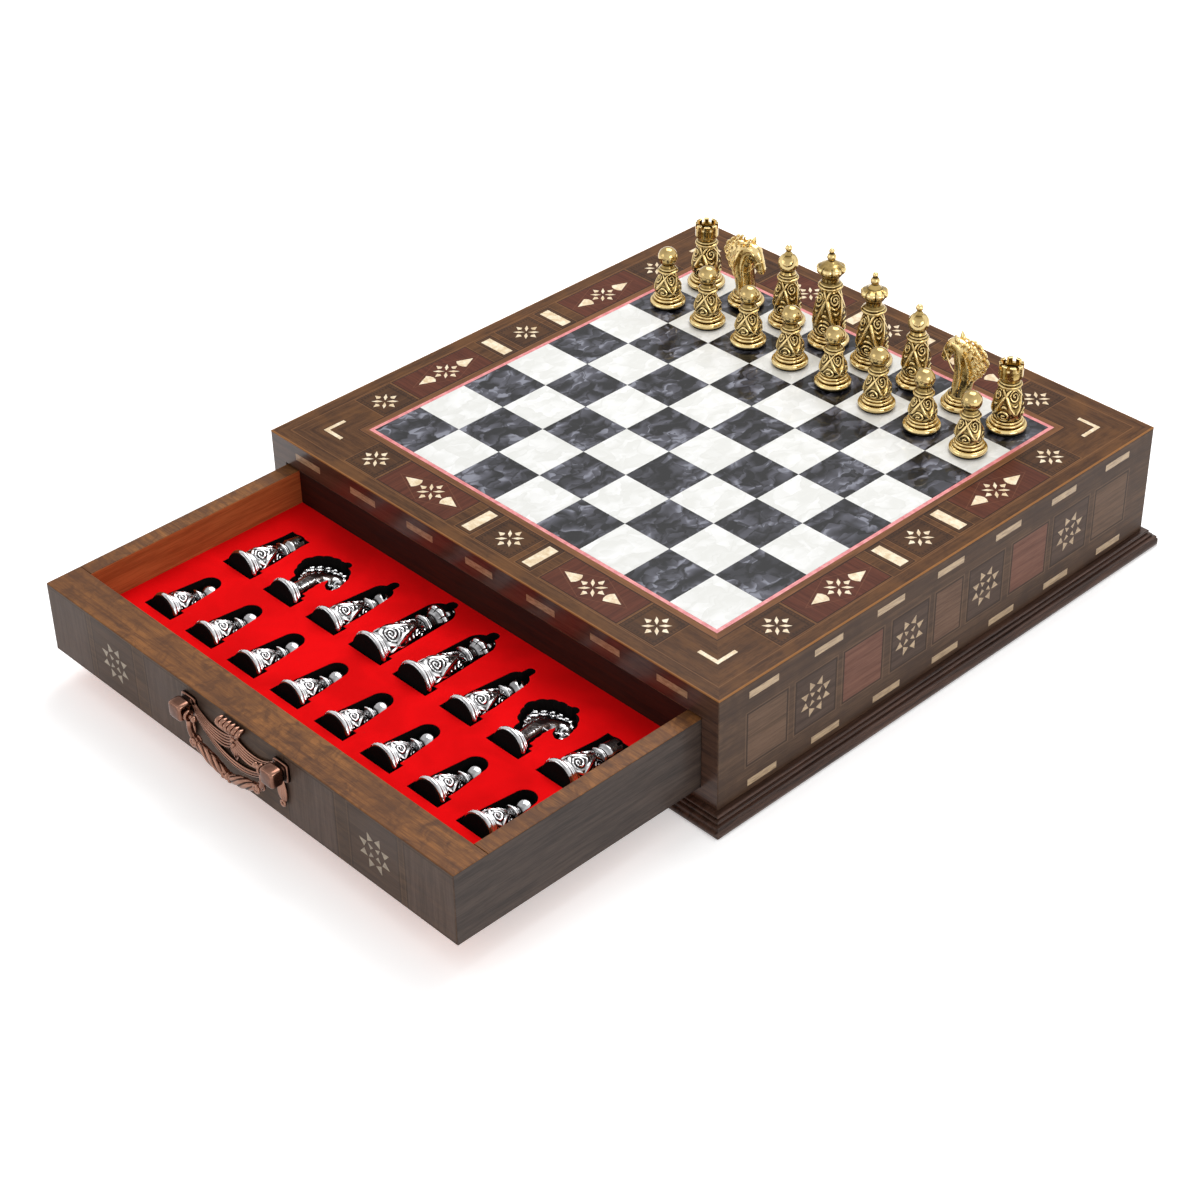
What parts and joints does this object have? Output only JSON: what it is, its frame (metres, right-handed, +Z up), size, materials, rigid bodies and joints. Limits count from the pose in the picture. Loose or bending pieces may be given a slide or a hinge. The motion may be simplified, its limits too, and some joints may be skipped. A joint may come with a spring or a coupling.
{
  "type": "chess box with drawers",
  "caption": "Low square inlaid chess board on a moulded base, with pull-out velvet-lined drawers, bail handles and turned metal chess pieces.",
  "frame": {"origin": "middle of the base board's underside, on the table", "axes": "+Z up, +X along the drawer fronts to the right, +Y from the front drawer to the rear drawer"},
  "size_m": [0.396, 0.577, 0.1535],
  "materials": {
    "dark_wood": "gloss lacquer over dark brown wood",
    "wall_veneer": "gloss lacquer over brown and reddish veneers",
    "burr_veneer": "gloss lacquer over figured brown veneer",
    "drawer_wood": "lacquered brown wood",
    "bone": "polished cream inlay",
    "pink_line": "polished pink line",
    "light_pearl": "polished ivory white",
    "dark_pearl": "polished black with pearl streaks",
    "velvet": "red velvet on foam",
    "copper": "antiqued copper plate",
    "gold_metal": "polished gold plate, darkened in the recesses",
    "silver_metal": "polished silver plate, darkened in the recesses"
  },
  "bodies": {
    "case": {"base_board": "dark_wood", "case_floor": "dark_wood", "left_side": "wall_veneer", "right_side": "wall_veneer", "centre_divider": "dark_wood", "top_board": "dark_wood", "border_veneer": "burr_veneer", "bone_inlays": "bone", "field_stringing": "pink_line", "light_squares": "light_pearl", "dark_squares": "dark_pearl"},
    "front_drawer": {"front_drawer_front": "burr_veneer", "front_drawer_walls": "drawer_wood", "front_drawer_bottom": "drawer_wood", "front_pawn_bed": "velvet", "front_officer_bed": "velvet", "front_drawer_inlays": "bone", "front_handle_plate": "copper"},
    "rear_drawer": {"rear_drawer_front": "burr_veneer", "rear_drawer_walls": "drawer_wood", "rear_drawer_bottom": "drawer_wood", "rear_pawn_bed": "velvet", "rear_officer_bed": "velvet", "rear_drawer_inlays": "bone", "rear_handle_plate": "copper"},
    "front_bail": {"front_handle_bail": "copper"},
    "rear_bail": {"rear_handle_bail": "copper"},
    "gold_rook_a": {"gold_rook_a": "gold_metal"},
    "gold_knight_b": {"gold_knight_b": "gold_metal"},
    "gold_bishop_c": {"gold_bishop_c": "gold_metal"},
    "gold_king": {"gold_king": "gold_metal"},
    "gold_queen": {"gold_queen": "gold_metal"},
    "gold_bishop_f": {"gold_bishop_f": "gold_metal"},
    "gold_knight_g": {"gold_knight_g": "gold_metal"},
    "gold_rook_h": {"gold_rook_h": "gold_metal"},
    "gold_pawn_a": {"gold_pawn_a": "gold_metal"},
    "gold_pawn_b": {"gold_pawn_b": "gold_metal"},
    "gold_pawn_c": {"gold_pawn_c": "gold_metal"},
    "gold_pawn_d": {"gold_pawn_d": "gold_metal"},
    "gold_pawn_e": {"gold_pawn_e": "gold_metal"},
    "gold_pawn_f": {"gold_pawn_f": "gold_metal"},
    "gold_pawn_g": {"gold_pawn_g": "gold_metal"},
    "gold_pawn_h": {"gold_pawn_h": "gold_metal"},
    "silver_rook_a": {"silver_rook_a": "silver_metal"},
    "silver_knight_b": {"silver_knight_b": "silver_metal"},
    "silver_bishop_c": {"silver_bishop_c": "silver_metal"},
    "silver_king": {"silver_king": "silver_metal"},
    "silver_queen": {"silver_queen": "silver_metal"},
    "silver_bishop_f": {"silver_bishop_f": "silver_metal"},
    "silver_knight_g": {"silver_knight_g": "silver_metal"},
    "silver_rook_h": {"silver_rook_h": "silver_metal"},
    "silver_pawn_a": {"silver_pawn_a": "silver_metal"},
    "silver_pawn_b": {"silver_pawn_b": "silver_metal"},
    "silver_pawn_c": {"silver_pawn_c": "silver_metal"},
    "silver_pawn_d": {"silver_pawn_d": "silver_metal"},
    "silver_pawn_e": {"silver_pawn_e": "silver_metal"},
    "silver_pawn_f": {"silver_pawn_f": "silver_metal"},
    "silver_pawn_g": {"silver_pawn_g": "silver_metal"},
    "silver_pawn_h": {"silver_pawn_h": "silver_metal"}
  },
  "joints": [
    {"name": "drawer_front_slide", "type": "slide", "parent": "case", "child": "front_drawer", "axis": [0, -1, 0], "range_m": [-0.175, 0]},
    {"name": "drawer_rear_slide", "type": "slide", "parent": "case", "child": "rear_drawer", "axis": [0, 1, 0], "range_m": [0, 0.175]},
    {"name": "bail_front_swing", "type": "hinge", "parent": "front_drawer", "child": "front_bail", "pos_m": [0, -0.372, 0.056], "axis": [-1, 0, 0], "range_deg": [-4, 95]},
    {"name": "bail_rear_swing", "type": "hinge", "parent": "rear_drawer", "child": "rear_bail", "pos_m": [0, 0.197, 0.056], "axis": [1, 0, 0], "range_deg": [-4, 95]},
    {"name": "lift_gold_rook_a", "type": "slide", "parent": "case", "child": "gold_rook_a", "axis": [0, 0, 1], "range_m": [0, 0.075]},
    {"name": "lift_gold_knight_b", "type": "slide", "parent": "case", "child": "gold_knight_b", "axis": [0, 0, 1], "range_m": [0, 0.075]},
    {"name": "lift_gold_bishop_c", "type": "slide", "parent": "case", "child": "gold_bishop_c", "axis": [0, 0, 1], "range_m": [0, 0.075]},
    {"name": "lift_gold_king", "type": "slide", "parent": "case", "child": "gold_king", "axis": [0, 0, 1], "range_m": [0, 0.075]},
    {"name": "lift_gold_queen", "type": "slide", "parent": "case", "child": "gold_queen", "axis": [0, 0, 1], "range_m": [0, 0.075]},
    {"name": "lift_gold_bishop_f", "type": "slide", "parent": "case", "child": "gold_bishop_f", "axis": [0, 0, 1], "range_m": [0, 0.075]},
    {"name": "lift_gold_knight_g", "type": "slide", "parent": "case", "child": "gold_knight_g", "axis": [0, 0, 1], "range_m": [0, 0.075]},
    {"name": "lift_gold_rook_h", "type": "slide", "parent": "case", "child": "gold_rook_h", "axis": [0, 0, 1], "range_m": [0, 0.075]},
    {"name": "lift_gold_pawn_a", "type": "slide", "parent": "case", "child": "gold_pawn_a", "axis": [0, 0, 1], "range_m": [0, 0.075]},
    {"name": "lift_gold_pawn_b", "type": "slide", "parent": "case", "child": "gold_pawn_b", "axis": [0, 0, 1], "range_m": [0, 0.075]},
    {"name": "lift_gold_pawn_c", "type": "slide", "parent": "case", "child": "gold_pawn_c", "axis": [0, 0, 1], "range_m": [0, 0.075]},
    {"name": "lift_gold_pawn_d", "type": "slide", "parent": "case", "child": "gold_pawn_d", "axis": [0, 0, 1], "range_m": [0, 0.075]},
    {"name": "lift_gold_pawn_e", "type": "slide", "parent": "case", "child": "gold_pawn_e", "axis": [0, 0, 1], "range_m": [0, 0.075]},
    {"name": "lift_gold_pawn_f", "type": "slide", "parent": "case", "child": "gold_pawn_f", "axis": [0, 0, 1], "range_m": [0, 0.075]},
    {"name": "lift_gold_pawn_g", "type": "slide", "parent": "case", "child": "gold_pawn_g", "axis": [0, 0, 1], "range_m": [0, 0.075]},
    {"name": "lift_gold_pawn_h", "type": "slide", "parent": "case", "child": "gold_pawn_h", "axis": [0, 0, 1], "range_m": [0, 0.075]},
    {"name": "lift_silver_rook_a", "type": "slide", "parent": "front_drawer", "child": "silver_rook_a", "axis": [0, 0, 1], "range_m": [0, 0.06]},
    {"name": "lift_silver_knight_b", "type": "slide", "parent": "front_drawer", "child": "silver_knight_b", "axis": [0, 0, 1], "range_m": [0, 0.06]},
    {"name": "lift_silver_bishop_c", "type": "slide", "parent": "front_drawer", "child": "silver_bishop_c", "axis": [0, 0, 1], "range_m": [0, 0.06]},
    {"name": "lift_silver_king", "type": "slide", "parent": "front_drawer", "child": "silver_king", "axis": [0, 0, 1], "range_m": [0, 0.06]},
    {"name": "lift_silver_queen", "type": "slide", "parent": "front_drawer", "child": "silver_queen", "axis": [0, 0, 1], "range_m": [0, 0.06]},
    {"name": "lift_silver_bishop_f", "type": "slide", "parent": "front_drawer", "child": "silver_bishop_f", "axis": [0, 0, 1], "range_m": [0, 0.06]},
    {"name": "lift_silver_knight_g", "type": "slide", "parent": "front_drawer", "child": "silver_knight_g", "axis": [0, 0, 1], "range_m": [0, 0.06]},
    {"name": "lift_silver_rook_h", "type": "slide", "parent": "front_drawer", "child": "silver_rook_h", "axis": [0, 0, 1], "range_m": [0, 0.06]},
    {"name": "lift_silver_pawn_a", "type": "slide", "parent": "front_drawer", "child": "silver_pawn_a", "axis": [0, 0, 1], "range_m": [0, 0.06]},
    {"name": "lift_silver_pawn_b", "type": "slide", "parent": "front_drawer", "child": "silver_pawn_b", "axis": [0, 0, 1], "range_m": [0, 0.06]},
    {"name": "lift_silver_pawn_c", "type": "slide", "parent": "front_drawer", "child": "silver_pawn_c", "axis": [0, 0, 1], "range_m": [0, 0.06]},
    {"name": "lift_silver_pawn_d", "type": "slide", "parent": "front_drawer", "child": "silver_pawn_d", "axis": [0, 0, 1], "range_m": [0, 0.06]},
    {"name": "lift_silver_pawn_e", "type": "slide", "parent": "front_drawer", "child": "silver_pawn_e", "axis": [0, 0, 1], "range_m": [0, 0.06]},
    {"name": "lift_silver_pawn_f", "type": "slide", "parent": "front_drawer", "child": "silver_pawn_f", "axis": [0, 0, 1], "range_m": [0, 0.06]},
    {"name": "lift_silver_pawn_g", "type": "slide", "parent": "front_drawer", "child": "silver_pawn_g", "axis": [0, 0, 1], "range_m": [0, 0.06]},
    {"name": "lift_silver_pawn_h", "type": "slide", "parent": "front_drawer", "child": "silver_pawn_h", "axis": [0, 0, 1], "range_m": [0, 0.06]}
  ]
}
